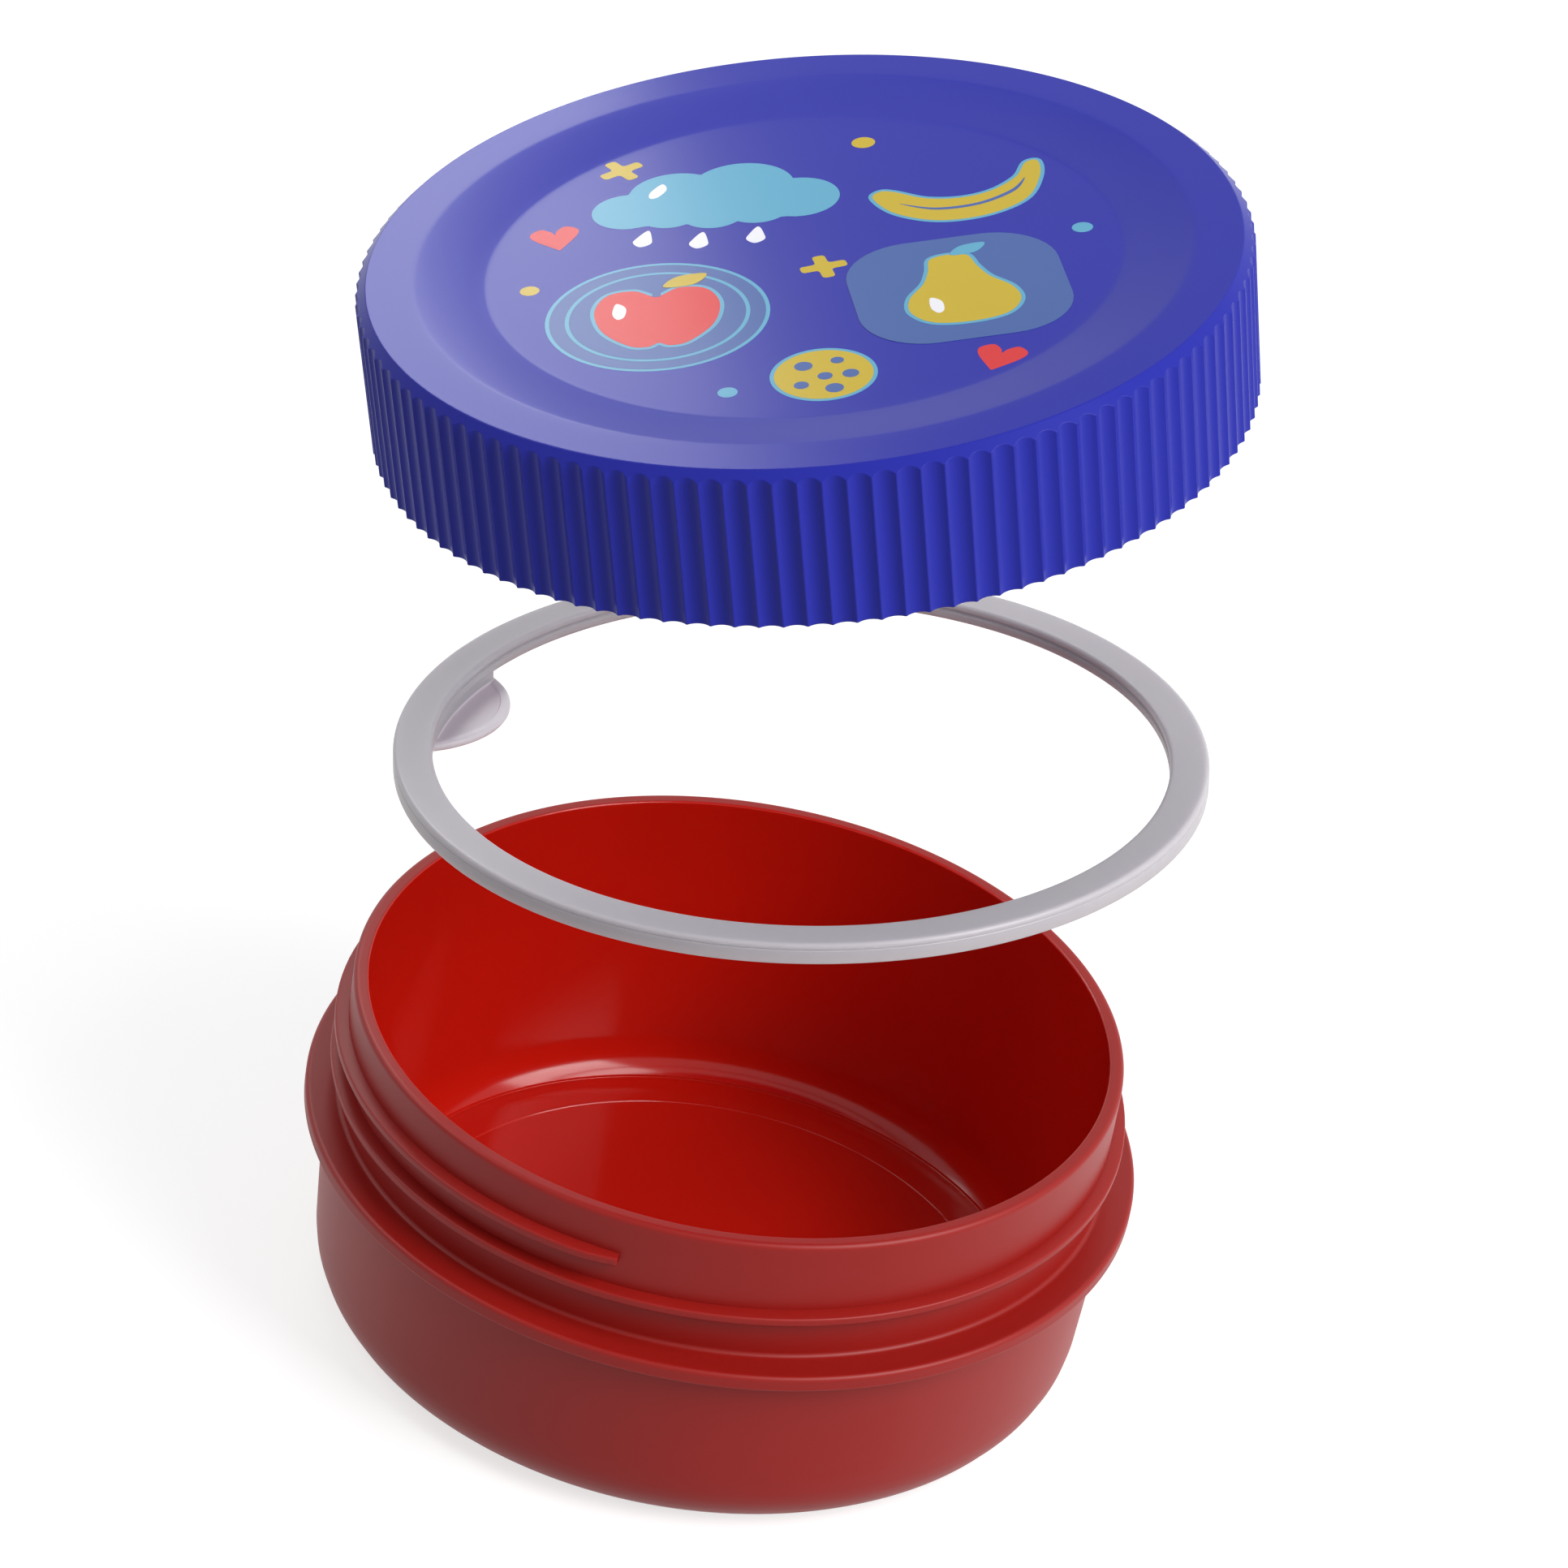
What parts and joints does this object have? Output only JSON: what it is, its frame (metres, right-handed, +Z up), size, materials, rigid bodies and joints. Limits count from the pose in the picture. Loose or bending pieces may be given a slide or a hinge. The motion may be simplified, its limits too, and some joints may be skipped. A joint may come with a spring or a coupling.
{
  "type": "snack container",
  "caption": "Round plastic snack container for a toddler, taken apart: screw-neck cup, soft seal ring with a pull tab and fluted screw lid.",
  "frame": {"origin": "centre of the ring that the cup stands on, on the cup's axis at the level of the table", "axes": "+Z up along the cup's axis, +X to the right and -Y towards the viewer of the picture"},
  "size_m": [0.1176, 0.1133, 0.1721],
  "materials": {
    "cup_red": "glossy inside, satin outside",
    "seal_silicone": "frosted translucent silicone",
    "lid_blue": "semi-gloss, with a printed disc in the top"
  },
  "bodies": {
    "cup": {"cup": "cup_red"},
    "seal": {"seal_ring": "seal_silicone"},
    "lid": {"lid": "lid_blue"}
  },
  "joints": [
    {"name": "seal_lift", "type": "hinge", "parent": "cup", "child": "seal", "pos_m": [-0.2443, 0.13, 0.094], "axis": [-0.4776, -0.876, -0.068], "range_deg": [-8.66, 0]},
    {"name": "lid_lift", "type": "hinge", "parent": "seal", "child": "lid", "pos_m": [-0.35453, -0.39556, 0.08252], "axis": [0.7329, -0.669, 0.1237], "range_deg": [-7.34, 0]}
  ]
}
